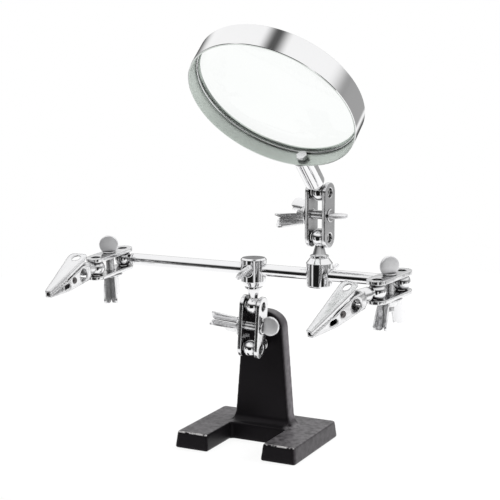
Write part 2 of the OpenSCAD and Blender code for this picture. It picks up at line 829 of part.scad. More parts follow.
module rim_screw() {
    lift = 0.16;
    seat = handle_l + rim_t + lift;
    tail = handle_reach + (handle_l - handle_reach) / 2 + 1;
    color(DARK) in_magnifier() {
        translate([0, 0, seat]) cylinder(r = rim_hex / sqrt(3), h = rim_hex_h, $fn = 6);
        translate([0, 0, tail]) cylinder(d = rim_screw_d, h = seat - tail + cut);
    }
}

module lens_rim() {
    inner = rim_r - rim_t;
    ledge = inner - 2 * rim_t;
    lip = inner - 0.6;
    edge = 0.25;
    ledge_at = lens_offset + lens_edge_t / 2 + lens_sag - sag(ledge) + face_gap;
    half = rim_w / 2;
    color(CHROME) difference() {
        on_lens_axis() rotate_extrude($fn = 180) polygon([[rim_r - edge, -half], [rim_r, -half + edge],
            [rim_r, half - edge], [rim_r - edge, half], [lip, half], [lip, half - rim_t],
            [inner, half - rim_t], [inner, ledge_at + rim_t], [ledge, ledge_at + rim_t],
            [ledge, ledge_at], [inner, ledge_at], [inner, -half]]);
        in_magnifier() translate([0, 0, handle_l - 2 * rim_t])
            cylinder(d = rim_screw_d + 2 * bore_gap, h = 4 * rim_t);
    }
}

module lens() {
    centre_of = lens_curve - lens_sag - lens_edge_t / 2;
    color("white", 0.35) on_lens_axis() translate([0, 0, lens_offset]) intersection() {
        cylinder(r = lens_r, h = 4 * lens_sag + lens_edge_t, center = true, $fn = 120);
        translate([0, 0, centre_of]) sphere(r = lens_curve, $fn = 120);
        translate([0, 0, -centre_of]) sphere(r = lens_curve, $fn = 120);
    }
}

module retaining_ring() {
    along = lens_offset - lens_edge_t / 2 - ring_wire / 2 - face_gap;
    color(STEEL) on_lens_axis() translate([0, 0, along]) rotate_extrude($fn = 120)
        translate([lens_r - ring_wire / 2, 0]) circle(d = ring_wire, $fn = 24);
}

module left_plate_lower() {
    color(STEEL) in_left_clamp() mirror([1, 0, 0]) clamp_plate();
}

module left_plate_upper() {
    color(STEEL) in_left_clamp() clamp_plate();
}

module left_thumbscrew() {
    color(CHROME) in_left_clamp() clamp_screw(left_screw_turn, 0);
}

module left_wing_nut() {
    color(CHROME) in_left_clamp() clamp_nut(left_nut_turn);
}

module left_clip_ball() {
    color(CHROME) in_left_clip() rotate([0, 90, 0]) ball_stud(clip_reach, neck_d + 0.6);
}

module left_lower_jaw() {
    color(CHROME) in_left_clip() lower_jaw();
}

module left_upper_jaw() {
    color(CHROME) in_left_clip() upper_jaw();
}

module left_pivot_pin() {
    color(STEEL) in_left_clip() pivot_pin();
}

module left_spring() {
    color(DARK) in_left_clip() torsion_spring();
}

module right_plate_lower() {
    color(STEEL) in_right_clamp() mirror([1, 0, 0]) clamp_plate();
}

module right_plate_upper() {
    color(STEEL) in_right_clamp() clamp_plate();
}

module right_thumbscrew() {
    color(CHROME) in_right_clamp() clamp_screw(right_screw_turn, 0);
}

module right_wing_nut() {
    color(CHROME) in_right_clamp() clamp_nut(right_nut_turn);
}

module right_clip_ball() {
    color(CHROME) in_right_clip() rotate([0, 90, 0]) ball_stud(clip_reach, neck_d + 0.6);
}

module right_lower_jaw() {
    color(CHROME) in_right_clip() lower_jaw();
}

module right_upper_jaw() {
    color(CHROME) in_right_clip() upper_jaw();
}

module right_pivot_pin() {
    color(STEEL) in_right_clip() pivot_pin();
}

module right_spring() {
    color(DARK) in_right_clip() torsion_spring();
}

base_casting();
base_ball_stud();
centre_plate_left();
centre_plate_right();
centre_thumbscrew();
centre_wing_nut();
cross_ball_stud();
cross_block();
cross_thumbscrew();
main_rod();
left_rod_ball();
right_rod_ball();
mag_block();
mag_thumbscrew();
mag_ball_stud();
mag_plate_left();
mag_plate_right();
mag_clamp_thumbscrew();
mag_wing_nut();
handle_ball_stud();
handle_sleeve();
rim_screw();
lens_rim();
lens();
retaining_ring();
left_plate_lower();
left_plate_upper();
left_thumbscrew();
left_wing_nut();
left_clip_ball();
left_lower_jaw();
left_upper_jaw();
left_pivot_pin();
left_spring();
right_plate_lower();
right_plate_upper();
right_thumbscrew();
right_wing_nut();
right_clip_ball();
right_lower_jaw();
right_upper_jaw();
right_pivot_pin();
right_spring();
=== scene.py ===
import bmesh
import bpy
import json
import math
from mathutils import Matrix, Vector


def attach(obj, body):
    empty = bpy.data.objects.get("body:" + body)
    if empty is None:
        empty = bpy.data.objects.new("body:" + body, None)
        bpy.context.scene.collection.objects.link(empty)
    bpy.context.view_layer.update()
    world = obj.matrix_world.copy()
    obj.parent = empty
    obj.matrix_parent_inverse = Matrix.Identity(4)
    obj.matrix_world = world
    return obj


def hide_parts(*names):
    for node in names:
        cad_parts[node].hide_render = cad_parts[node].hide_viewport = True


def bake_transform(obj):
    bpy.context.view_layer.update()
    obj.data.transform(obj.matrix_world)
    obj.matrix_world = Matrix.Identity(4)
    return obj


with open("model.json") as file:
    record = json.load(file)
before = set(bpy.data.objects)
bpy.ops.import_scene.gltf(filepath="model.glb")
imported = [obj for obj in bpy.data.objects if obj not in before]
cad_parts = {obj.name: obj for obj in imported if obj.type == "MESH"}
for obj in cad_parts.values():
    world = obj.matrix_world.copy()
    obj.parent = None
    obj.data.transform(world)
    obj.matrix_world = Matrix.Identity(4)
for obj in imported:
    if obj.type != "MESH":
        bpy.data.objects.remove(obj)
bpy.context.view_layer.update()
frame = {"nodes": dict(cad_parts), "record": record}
nodes = frame["nodes"]
scene = bpy.context.scene
scene.view_settings.view_transform = "Standard"
mm = 0.001
weldGap = 2e-6  # metres
slotOf = {s["node"]: s["material_slot"] for s in frame["record"]["subparts"]}
bodyOf = {n: b for b, members in frame["record"]["behaviour"]["bodies"].items() for n in members}


def metres(values):  # from millimetres
    return tuple(v * mm for v in values)


# shader sockets that can be added, multiplied and mixed like numbers
class Wire:
    def __init__(self, tree, socket):
        self.tree = tree
        self.socket = socket

    def make(self, kind, settings, inputs, out=0):
        node = self.tree.nodes.new("ShaderNode" + kind)
        for key, value in settings.items():
            setattr(node, key, value)
        for key, value in inputs.items():
            if isinstance(value, Wire):
                self.tree.links.new(value.socket, node.inputs[key])
            else:
                node.inputs[key].default_value = value
        return Wire(self.tree, node.outputs[out])

    def maths(self, operation, first, second=0.0):
        return self.make("Math", {"operation": operation}, {0: first, 1: second})

    def __add__(self, other):
        return self.maths("ADD", self, other)

    def __radd__(self, other):
        return self.maths("ADD", other, self)

    def __sub__(self, other):
        return self.maths("SUBTRACT", self, other)

    def __rsub__(self, other):
        return self.maths("SUBTRACT", other, self)

    def __mul__(self, other):
        return self.maths("MULTIPLY", self, other)

    def __rmul__(self, other):
        return self.maths("MULTIPLY", other, self)

    def __pow__(self, other):
        return self.maths("POWER", self, other)

    def size(self):
        return self.maths("ABSOLUTE", self)

    def most(self, other):
        return self.maths("MAXIMUM", self, other)

    def cosine(self):
        return self.maths("COSINE", self)

    def bearing(self, other):  # angle of the arrow (other, self), 0 along other
        return self.maths("ARCTAN2", self, other)

    def step(self, low, high):  # 0 below low, 1 above high, smooth between
        return self.make("MapRange", {"interpolation_type": "SMOOTHSTEP"},
                         {"Value": self, "From Min": low, "From Max": high})

    def axis(self, letter):
        return self.make("SeparateXYZ", {}, {0: self}, "XYZ".index(letter))

    def stretch(self, by):
        return self.make("VectorMath", {"operation": "MULTIPLY"}, {0: self, 1: by})

    def noise(self, scale, detail, roughness):
        return self.make("TexNoise", {}, {"Vector": self, "Scale": scale, "Detail": detail,
                                          "Roughness": roughness})

    def tint(self, low, high):  # a colour between two, by this value
        ends = [c if isinstance(c, Wire) else (*c, 1) for c in (low, high)]
        return self.make("Mix", {"data_type": "RGBA"}, {0: self, 6: ends[0], 7: ends[1]}, 2)

    def bump(self, strength, distance, over=None):  # over is the normal that it starts from
        inputs = {"Strength": strength, "Distance": distance, "Height": self}
        if over is not None:
            inputs["Normal"] = over
        return self.make("Bump", {}, inputs)

    def feed(self, shader, name):
        self.tree.links.new(self.socket, shader.inputs[name])


def newMaterial(name, fixed):
    material = bpy.data.materials.new(name)
    material.use_nodes = True
    tree = material.node_tree
    shader = tree.nodes["Principled BSDF"]
    for key, value in fixed.items():
        shader.inputs[key].default_value = value
    coords = tree.nodes.new("ShaderNodeTexCoord")
    return material, shader, Wire(tree, coords.outputs["Object"])


# camera at the photograph's place, in the part's own millimetres
cameraSet = {
    "at": (320.23, -664.62, 231.12), "aim": (10.70, -41.9, 121.22), "lens": 91.02, "sensor": 36, "near": 10,
}


def aimed(at, aim):
    turn = (aim - at).to_track_quat("-Z", "Y")
    return Matrix.Translation(at) @ turn.to_matrix().to_4x4()


def addCamera():
    camera = bpy.data.cameras.new("photoCamera")
    camera.lens = cameraSet["lens"]
    camera.sensor_width = cameraSet["sensor"]
    camera.clip_start = cameraSet["near"] * mm
    holder = bpy.data.objects.new("photoCamera", camera)
    scene.collection.objects.link(holder)
    holder.matrix_world = aimed(Vector(cameraSet["at"]) * mm, Vector(cameraSet["aim"]) * mm)
    scene.camera = holder


addCamera()

# pale table with rounded corners, soft lamps, and a dark room round them that the chrome can show
# lengths in metres, turns in radians from the front, tops and edges as heights on a sphere of radius 1
studioSet = {
    "floorFront": -0.165, "floorSlant": 0.05, "floorBack": 0.62, "floorSide": 0.48, "floorDrop": 0.0002,
    "cornerR": 0.12, "cornerStep": 6, "floorTone": 0.92, "floorGlow": 0.88, "soft": 0.5,
    "roomFront": 0.010, "roomBack": 0.09, "roomSide": 0.34, "roomPanel": 0.28,
    "behindTurn": (1.0, 2.2), "panelTurn": (1.7, 2.4), "panelTop": (0.08, 0.24),
    "besideAt": 1.55, "besideFade": (0.15, 0.6), "besideTop": (0.0, 0.2),
    "strips": 5, "stripTurn": 3.5, "stripSharp": 10, "stripTop": (-0.06, 0.10), "stripGlow": 1.0,
    "ceiling": (0.18, 0.55), "ceilingDrop": 0.12,
    "slotAt": 0.08, "slotFade": (0.02, 0.27), "slotTop": (0.84, 0.94), "slotDark": 0.9,
    "tableEdge": (-0.80, -0.62),
}
lampSet = {
    "keyBox": {"at": (-0.55, -0.75, 0.95), "aim": (0, 0, 0.10), "size": 0.6, "power": 6.0},
    "sideBox": {"at": (0.95, 0.25, 0.60), "aim": (0, 0, 0.05), "size": 0.5, "power": 12.0},
    "topBox": {"at": (0.0, 0.35, 1.15), "aim": (0, 0, 0.10), "size": 0.8, "power": 8.0},
}


def rayKinds(tree):
    path = tree.nodes.new("ShaderNodeLightPath")
    kinds = ("Is Camera Ray", "Is Glossy Ray", "Is Transmission Ray")
    return [Wire(tree, path.outputs[kind]) for kind in kinds]


def floorPaint():
    s = studioSet
    material = bpy.data.materials.new("paleFloor")
    material.use_nodes = True
    tree = material.node_tree
    tree.nodes.clear()
    camera, glossy, through = rayKinds(tree)
    seen = camera.most(glossy).most(through)
    paint = seen.make("BsdfDiffuse", {}, {"Color": (s["floorTone"], s["floorTone"], s["floorTone"], 1)})
    glow = seen.make("Emission", {}, {"Color": (1, 1, 1, 1), "Strength": 1.0})
    both = seen.make("MixShader", {}, {0: seen * s["floorGlow"], 1: paint, 2: glow})
    out = tree.nodes.new("ShaderNodeOutputMaterial")
    both.feed(out, "Surface")
    return material


def addFloor():
    s = studioSet
    r = s["cornerR"]
    side = s["floorSide"] - r
    back = s["floorBack"] - r
    leftFront = s["floorFront"] + s["floorSlant"] + r
    rightFront = s["floorFront"] - s["floorSlant"] + r
    corners = [(side, back, 0), (-side, back, 90), (-side, leftFront, 180), (side, rightFront, 270)]
    ring = []
    for x, y, quarter in corners:
        for t in range(0, 91, s["cornerStep"]):
            a = math.radians(quarter + t)
            ring.append((x + r * math.cos(a), y + r * math.sin(a), 0))
    mesh = bpy.data.meshes.new("paleFloor")
    mesh.from_pydata(ring, [], [list(range(len(ring)))])
    mesh.materials.append(floorPaint())
    floor = bpy.data.objects.new("paleFloor", mesh)
    floor.location.z = -s["floorDrop"]
    scene.collection.objects.link(floor)


def addWorld():
    s = studioSet
    world = bpy.data.worlds.new("studio")
    scene.world = world
    world.use_nodes = True
    tree = world.node_tree
    tree.nodes.clear()
    camera, glossy, through = rayKinds(tree)
    coords = tree.nodes.new("ShaderNodeTexCoord")
    way = Wire(tree, coords.outputs["Generated"])
    height = way.axis("Z")
    right = way.axis("X")
    turn = right.bearing(0 - way.axis("Y"))  # 0 in front, positive to the right
    # the room: dark in front, greyer behind, a paler panel behind on the right, strips low down
    behind = turn.size().step(*s["behindTurn"])
    beside = 1 - (turn.size() - s["besideAt"]).size().step(*s["besideFade"])
    beside = beside * (1 - height.step(*s["besideTop"]))
    panel = turn.step(*s["panelTurn"]) * (1 - height.step(*s["panelTop"]))
    strips = ((turn * s["strips"] + s["stripTurn"]).cosine() * 0.5 + 0.5) ** s["stripSharp"]
    strips = strips * (1 - height.step(*s["stripTop"]))
    room = s["roomFront"] + beside * s["roomSide"] + behind * s["roomBack"] + panel * s["roomPanel"]
    room = room.most(strips * s["stripGlow"])
    # the ceiling: white boxes, with a dark slot between them
    ceiling = (height + behind * s["ceilingDrop"]).step(*s["ceiling"])
    slot = (1 - (right - s["slotAt"]).size().step(*s["slotFade"])) * height.step(*s["slotTop"])
    table = 1 - height.step(*s["tableEdge"])
    tone = (room * (1 - ceiling) + ceiling * (1 - slot * s["slotDark"])).most(table)
    white = camera.most(through)
    strength = (1 - white) * (glossy * tone + (1 - glossy) * s["soft"]) + white
    sky = way.make("Background", {}, {"Color": (1, 1, 1, 1), "Strength": strength})
    out = tree.nodes.new("ShaderNodeOutputWorld")
    sky.feed(out, "Surface")


def addLamps():
    for name, s in lampSet.items():
        lamp = bpy.data.lights.new(name, "AREA")
        lamp.size = s["size"]
        lamp.energy = s["power"]
        holder = bpy.data.objects.new(name, lamp)
        scene.collection.objects.link(holder)
        holder.matrix_world = aimed(Vector(s["at"]), Vector(s["aim"]))
        holder.visible_glossy = False
        holder.visible_transmission = False


addFloor()
addWorld()
addLamps()
print("studio set")

# black paint on the casting: bands in millimetres, tilts from 0 to 1, noises as scale, detail, roughness
paintSet = {
    # the paler tones for the tops and for the sides are painted sheen, the one for the tops dust as well
    "black": (0.0050, 0.0045, 0.0052), "dustyWithSheen": (0.105, 0.100, 0.105), "sideSheen": (0.12, 0.11, 0.12),
    "bare": (0.42, 0.41, 0.41), "gloss": (0.22, 0.20, 0.22), "index": 1.5,
    "pebble": (900, 4, 0.6), "cloud": (70, 3, 0.55), "fine": (320, 4, 0.6), "chip": (260, 4, 0.65),
    "dustSheenTilt": (0.55, 0.95), "dustSheenGrain": (0.15, 0.75), "ledgeSide": (15, 19), "ledgeBack": (-4, 0),
    "sheenTilt": (0.2, 0.98), "sheenGrain": (0.0, 0.8), "sheenUp": (9, 16), "footSide": (30, 36),
    "footSheen": 0.35, "footUp": (10, 14), "deepBack": (-5.5, 1.5), "deepLeast": 0.15,
    "crownUp": (66, 80), "crownDark": 0.75, "chips": (0.40, 0.52),
    "scuffZ": 9.65, "scuffHigh": (0.15, 0.6), "scuffY": -40.75, "scuffDeep": (0.5, 1.3),
    "rough": 0.26, "cloudRough": 0.12, "pebbleRough": 0.08, "pebbleShare": 0.6, "bump": (0.30, 0.0002),
}


def blackPaint():
    p = paintSet
    fixed = {"IOR": p["index"], "Specular Tint": (*p["gloss"], 1)}
    material, shader, place = newMaterial("blackPaint", fixed)
    facing = place.make("NewGeometry", {}, {}, "Normal")
    pebble = place.noise(*p["pebble"])
    cloud = place.noise(*p["cloud"])
    fine = place.noise(*p["fine"])
    x = place.axis("X").size()
    y = place.axis("Y")
    z = place.axis("Z")
    # dust and painted sheen on what faces up, but not on the step in front of the upright, which stays black
    # as painted shade
    shadedLedge = (1 - x.step(*metres(p["ledgeSide"]))) * (1 - y.step(*metres(p["ledgeBack"])))
    dustAndSheen = facing.axis("Z").step(*p["dustSheenTilt"]) * fine.step(*p["dustSheenGrain"]) * (1 - shadedLedge)
    # painted sheen on the sides, most of all towards the back, and little on the crown
    spread = z.step(*metres(p["sheenUp"])).most(x.step(*metres(p["footSide"])) * p["footSheen"])
    deep = y.step(*metres(p["deepBack"])) * (1 - p["deepLeast"]) + p["deepLeast"]
    deep = deep.most(1 - z.step(*metres(p["footUp"]))) * (1 - z.step(*metres(p["crownUp"])) * p["crownDark"])
    sideSheen = facing.axis("X").size().step(*p["sheenTilt"]) * fine.step(*p["sheenGrain"]) * spread * deep
    # bright scuffs along the upper front edges of the feet
    edgeZ = 1 - (z - p["scuffZ"] * mm).size().step(*metres(p["scuffHigh"]))
    edgeY = 1 - (y - p["scuffY"] * mm).size().step(*metres(p["scuffDeep"]))
    scuff = edgeZ * edgeY * place.noise(*p["chip"]).step(*p["chips"])
    colour = sideSheen.tint(p["black"], p["sideSheen"])
    colour = dustAndSheen.tint(colour, p["dustyWithSheen"])
    scuff.tint(colour, p["bare"]).feed(shader, "Base Color")
    (p["rough"] + cloud * p["cloudRough"] + pebble * p["pebbleRough"]).feed(shader, "Roughness")
    grain = pebble * p["pebbleShare"] + cloud * (1 - p["pebbleShare"])
    grain.bump(*p["bump"]).feed(shader, "Normal")
    return material


# bright metals: rounded arrises, waves from the press, hair scratches, painted shade in the corners
metalSet = {
    # each finish ends with the strength of its painted shade in corners
    "chrome": {
        "tone": (0.92, 0.92, 0.93), "metal": 1.0, "rough": 0.045, "wave": 0.05, "arris": 0.5, "cornerShade": 0.9},
    "platedSteel": {
        "tone": (0.88, 0.88, 0.89), "metal": 1.0, "rough": 0.11, "wave": 0.16, "arris": 0.7, "cornerShade": 0.95},
    "pressedJaw": {
        "tone": (0.90, 0.90, 0.91), "metal": 1.0, "rough": 0.12, "wave": 0.16, "arris": 1.9, "cornerShade": 0.95},
    # the thumbscrew heads: satin, with a whitish non-metal share that is a painted reflection of a large soft
    # light
    "satinHeadPaintedReflection": {
        "tone": (0.82, 0.82, 0.83), "metal": 0.75, "rough": 0.30, "wave": 0.22, "arris": 0.6, "cornerShade": 0.8},
    "pressedLeaf": {
        "tone": (0.90, 0.90, 0.91), "metal": 0.85, "rough": 0.13, "wave": 0.35, "arris": 0.12, "cornerShade": 0.15},
    "darkSteel": {
        "tone": (0.16, 0.15, 0.15), "metal": 1.0, "rough": 0.30, "wave": 0.10, "arris": 0.2, "cornerShade": 0.8},
}
grainSet = {
    "cloud": (120, 2, 0.5), "cloudTone": 0.94, "cloudRough": 0.6, "waveDeep": 0.0012,
    "hair": (1500, 3, 0.6), "hairRun": (1, 0.15, 1), "hairDeep": 0.01, "scratch": (0.62, 0.8),
    "scratchRough": 0.05, "shadeReach": 8, "shadeOpen": (0.15, 0.85), "shadeTone": 0.05, "rays": 8,
}


def brightMetal(name):
    m = metalSet[name]
    g = grainSet
    material, shader, place = newMaterial(name, {"Metallic": m["metal"]})
    cloud = place.noise(*g["cloud"])
    hair = place.stretch(g["hairRun"]).noise(*g["hair"])
    # painted shade: darker where ambient occlusion finds corners, recesses and gaps between parts
    airy = place.make("AmbientOcclusion", {"samples": g["rays"]}, {"Distance": g["shadeReach"] * mm}, "AO")
    unshaded = airy.step(*g["shadeOpen"]) * m["cornerShade"] + (1 - m["cornerShade"])
    shine = cloud.tint(tuple(c * g["cloudTone"] for c in m["tone"]), m["tone"])
    unshaded.tint(tuple(c * g["shadeTone"] for c in m["tone"]), shine).feed(shader, "Base Color")
    scratch = hair.step(*g["scratch"]) * g["scratchRough"]
    (m["rough"] + cloud * m["rough"] * g["cloudRough"] + scratch).feed(shader, "Roughness")
    rounded = place.make("Bevel", {"samples": g["rays"]}, {"Radius": m["arris"] * mm})
    (cloud + hair * g["hairDeep"]).bump(m["wave"], g["waveDeep"], rounded).feed(shader, "Normal")
    return material


# the rim: polished outside, dull inside with a painted green reflection of the glass edge, its place in
# millimetres
rimSet = {
    "centre": (40.08, -71.34, 206.75), "axis": (0.0869, 0.6922, 0.7164), "inside": (45.9, 46.3),
    # the inside tone is dull, with a painted green reflection of the glass edge
    "low": (0.88, 0.88, 0.885), "high": (0.92, 0.92, 0.925), "dullPaintedGreen": (0.62, 0.67, 0.63),
    "cloud": (60, 2, 0.5), "hair": (1500, 3, 0.6), "hairDeep": 0.01, "scratch": (0.62, 0.8),
    "rough": 0.06, "dullRough": 0.28, "scratchRough": 0.04, "bump": (0.03, 0.0006),
}


def rimMetal():
    m = rimSet
    material, shader, place = newMaterial("rimMetal", {"Metallic": 1.0})
    off = place.make("VectorMath", {"operation": "SUBTRACT"}, {0: place, 1: metres(m["centre"])})
    along = off.make("VectorMath", {"operation": "DOT_PRODUCT"}, {0: off, 1: m["axis"]}, "Value")
    far = off.make("VectorMath", {"operation": "LENGTH"}, {0: off}, "Value")
    radius = (far * far - along * along) ** 0.5
    inside = 1 - radius.step(*metres(m["inside"]))
    cloud = place.noise(*m["cloud"])
    hair = place.noise(*m["hair"])
    shine = cloud.tint(m["low"], m["high"])
    # painted reflection: the inside tinted green as if mirroring the glass edge
    inside.tint(shine, m["dullPaintedGreen"]).feed(shader, "Base Color")
    scratch = hair.step(*m["scratch"]) * m["scratchRough"]
    (m["rough"] + inside * m["dullRough"] + scratch).feed(shader, "Roughness")
    (cloud + hair * m["hairDeep"]).bump(*m["bump"]).feed(shader, "Normal")
    return material


# the lens, with a low index so that little light is trapped inside the rim
glassSet = {
    "index": 1.2, "cloud": (18, 2, 0.5), "fade": (0.3, 0.8),
    "low": (0.965, 0.985, 0.972), "high": (0.99, 1.0, 0.995),
}


def clearGlass():
    g = glassSet
    fixed = {"Transmission Weight": 1.0, "IOR": g["index"], "Roughness": 0.0}
    material, shader, place = newMaterial("clearGlass", fixed)
    place.noise(*g["cloud"]).step(*g["fade"]).tint(g["low"], g["high"]).feed(shader, "Base Color")
    return material


finishes = {
    "black_paint": blackPaint(),
    "chrome": brightMetal("chrome"),
    "plated_steel": brightMetal("platedSteel"),
    "dark_steel": brightMetal("darkSteel"),
    "glass": clearGlass(),
}
pressedJaw = brightMetal("pressedJaw")
satinHeadPaintedReflection = brightMetal("satinHeadPaintedReflection")
pressedLeaf = brightMetal("pressedLeaf")
ownFinish = {"lens_rim": rimMetal(), "rim_screw": finishes["plated_steel"], "retaining_ring": pressedLeaf}
for side in ("left", "right"):
    ownFinish[f"{side}_pivot_pin"] = finishes["dark_steel"]
    ownFinish[f"{side}_lower_jaw"] = pressedJaw
    ownFinish[f"{side}_upper_jaw"] = pressedJaw
print("finishes mixed")


def roundEdges(piece, width, segments, degrees):
    bevel = piece.modifiers.new("roundEdges", "BEVEL")
    bevel.width = width * mm
    bevel.segments = segments
    bevel.limit_method = "ANGLE"
    bevel.angle_limit = math.radians(degrees)
    return bevel


# the solids as they are, with flat faces joined up and their edges rounded off
# width in millimetres and steps of each rounded edge
edgeSet = {
    "plate": (0.42, 3), "jaw": (0.28, 2), "plain": (0.2, 2),
    "lens_rim": (0.12, 2), "lens": (0, 0), "retaining_ring": (0, 0), "main_rod": (0.5, 3),
}
dressSet = {"flat": 0.6, "crease": 32, "weight": 60}


def edgeOf(name):
    for kind in ("plate", "jaw"):
        if kind in name:
            return edgeSet[kind]
    return edgeSet.get(name, edgeSet["plain"])


def dressNode(name, node):
    mesh = node.data
    mesh.materials.clear()
    mesh.materials.append(ownFinish.get(name, finishes[slotOf[name]]))
    for face in mesh.polygons:
        face.use_smooth = True
    weld = node.modifiers.new("weld", "WELD")
    weld.merge_threshold = weldGap
    width, segments = edgeOf(name)
    if width:
        join = node.modifiers.new("joinFlats", "DECIMATE")
        join.decimate_type = "DISSOLVE"
        join.angle_limit = math.radians(dressSet["flat"])
        bevel = roundEdges(node, width, segments, dressSet["crease"])
        bevel.use_clamp_overlap = True
        bevel.miter_outer = "MITER_ARC"
    weigh = node.modifiers.new("flatFaces", "WEIGHTED_NORMAL")
    weigh.weight = dressSet["weight"]
    weigh.keep_sharp = False


for name, node in nodes.items():
    dressNode(name, node)
print("nodes dressed")


# places of the pieces, in millimetres and degrees, as the part puts its solids
def shift(x, y, z):
    return Matrix.Translation((x, y, z))


def spin(degrees, axis):
    return Matrix.Rotation(math.radians(degrees), 4, axis)


placeSet = {
    "ball": (0, -18.5, 59.3), "lean": 3.2, "span": 25.4, "stem": 21.4, "magAt": 41.3, "magYaw": -5,
    "left": (-88.7, 5.3, 83.7), "right": (90.2, 3.2, 79.4),
    "leftClip": (8.5, -11.2), "rightClip": (-11.1, 1.4), "jaws": (12.9, 14.3),
}
centreClamp = shift(*placeSet["ball"]) @ spin(placeSet["lean"], "Y")
crossBlock = (centreClamp @ shift(0, 0, placeSet["span"]) @ spin(-placeSet["lean"], "Y")
              @ shift(0, 0, placeSet["stem"]))
magBlock = crossBlock @ shift(placeSet["magAt"], 0, 0)
magClamp = magBlock @ shift(0, 0, placeSet["stem"]) @ spin(placeSet["magYaw"], "Z")


def endClamp(along, droop, yaw):
    return crossBlock @ shift(along, 0, 0) @ spin(droop, "X") @ spin(yaw, "Z") @ spin(-90, "Y")


leftClamp = endClamp(*placeSet["left"])
rightClamp = endClamp(*placeSet["right"])


def screwPlace(clamp, turn):
    return clamp @ shift(0, 0, placeSet["span"] / 2) @ spin(turn, "X")


def jawPlace(clamp, turn, lean):
    reach, tilt = placeSet["jaws"]
    return (clamp @ shift(0, 0, placeSet["span"]) @ spin(turn, "X") @ spin(-90, "Y") @ spin(180, "X")
            @ spin(lean, "Y") @ shift(reach, 0, 0) @ spin(tilt, "Y"))


# a piece from points in millimetres, on its body, in place of its solid
def addPiece(name, points, faces, place, node, rigid=True):
    mesh = bpy.data.meshes.new(name)
    mesh.from_pydata([place @ Vector(p) * mm for p in points], [], faces)
    work = bmesh.new()
    work.from_mesh(mesh)
    bmesh.ops.remove_doubles(work, verts=work.verts, dist=weldGap)
    bmesh.ops.recalc_face_normals(work, faces=work.faces)
    work.to_mesh(mesh)
    work.free()
    for face in mesh.polygons:
        face.use_smooth = True
    mesh.materials.append(finishes[slotOf[node]])
    piece = bpy.data.objects.new(name, mesh)
    scene.collection.objects.link(piece)
    if rigid:
        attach(piece, bodyOf[node])
    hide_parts(node)
    return piece


# smooth shading that keeps creases above an angle
def smoothEdges(piece, degrees):
    work = bmesh.new()
    work.from_mesh(piece.data)
    for edge in work.edges:
        edge.smooth = len(edge.link_faces) == 2 and edge.calc_face_angle() < math.radians(degrees)
    work.to_mesh(piece.data)
    work.free()


def anglesOf(count):
    return [math.tau * k / count for k in range(count)]


# several shells gathered into one piece
class Shells:
    def __init__(self):
        self.points = []
        self.faces = []

    def take(self, points, faces):
        start = len(self.points)
        self.points += [tuple(p) for p in points]
        self.faces += [tuple(start + i for i in f) for f in faces]

    # rings of equal count joined into a skin, with the ends closed or the last ring joined to the first
    def skin(self, rings, loop=False):
        count = len(rings[0])
        points = [p for ring in rings for p in ring]
        faces = []
        for r in range(len(rings) if loop else len(rings) - 1):
            here = r * count
            there = (r + 1) % len(rings) * count
            for k in range(count):
                beside = (k + 1) % count
                faces.append((here + k, here + beside, there + beside, there + k))
        if not loop:
            faces.append(tuple(reversed(range(count))))
            faces.append(tuple(range(len(points) - count, len(points))))
        self.take(points, faces)


# thumbscrews: rolled thread, collar and slightly domed head with its flat on the collar
screwSet = {
    "tip": -13.918, "seat": 6.468, "blockTip": 3.55, "crossSeat": 7.5, "magSeat": 12.1, "gap": 0.05,
    "shankR": 2.5, "rootR": 2.12, "pitch": 0.8, "crest": 1.25, "plain": 0.9, "chamfer": 0.6,
    "sides": 28, "perTurn": 8, "collarR": 3.7, "collarT": 0.8, "collarSoft": 0.2, "collarSides": 40,
    "headR": 5.6, "headT": 2.6, "headFlat": 1.7, "headSides": 72, "headFrom": 0.02, "centreAside": 1.9,
    "dome": 0.3, "domeSteps": (0.03, 0.25, 0.5, 0.75), "edgeR": 0.5, "edgeSteps": 4, "crease": 40,
    "turns": {"centre": 90, "magClamp": 0, "left": 35, "right": 60, "cross": 45, "mag": -42},
}


def turnedRing(x, radii):
    return [(x, r * math.cos(a), r * math.sin(a)) for r, a in zip(radii, anglesOf(len(radii)))]


def threadRings(tip, foot):
    s = screwSet
    count = int((foot - tip) / (s["pitch"] / s["perTurn"]))
    rings = []
    for i in range(count + 1):
        x = tip + i * (foot - tip) / count
        most = s["shankR"] - s["chamfer"] * (1 - min(1, (x - tip) / s["chamfer"]))
        radii = []
        for k in range(s["sides"]):
            wave = abs(((x / s["pitch"] - k / s["sides"]) % 1) * 2 - 1)  # 1 on the crest, 0 in the root
            r = s["rootR"] + (s["shankR"] - s["rootR"]) * min(1, wave * s["crest"])
            if x > foot - s["plain"]:
                r = s["shankR"]
            radii.append(min(r, most))
        rings.append(turnedRing(x, radii))
    return rings


def collarRings(foot, top):
    s = screwSet
    soft = s["collarSoft"]
    inner = s["collarR"] - soft
    profile = [(foot, inner), (foot + soft, s["collarR"]), (top - soft, s["collarR"]), (top, inner)]
    return [turnedRing(x, [r] * s["collarSides"]) for x, r in profile]


# rings that grow from the middle of one domed face to the rim, then shrink on the other
def headRings(top, aside):
    s = screwSet
    cx = top + s["headR"] - s["headFlat"]
    reach = []
    for a in anglesOf(s["headSides"]):
        r = s["headR"]
        if math.cos(a) < 0:
            r = min(r, (cx - top + s["gap"]) / -math.cos(a))
        reach.append((a, r))

    def level(share, inset, z):
        return [(cx + (r * share - inset) * math.cos(a), aside + (r * share - inset) * math.sin(a), z)
                for a, r in reach]

    half = s["headT"] / 2 - s["dome"]
    rings = [level(f, 0, half + s["dome"] * (1 - f * f)) for f in s["domeSteps"]]
    for i in range(s["edgeSteps"] + 1):
        t = math.pi / 2 * i / s["edgeSteps"]
        rings.append(level(1, s["edgeR"] * (1 - math.sin(t)), half - s["edgeR"] * (1 - math.cos(t))))
    return rings + [[(x, y, -z) for x, y, z in ring] for ring in reversed(rings)]


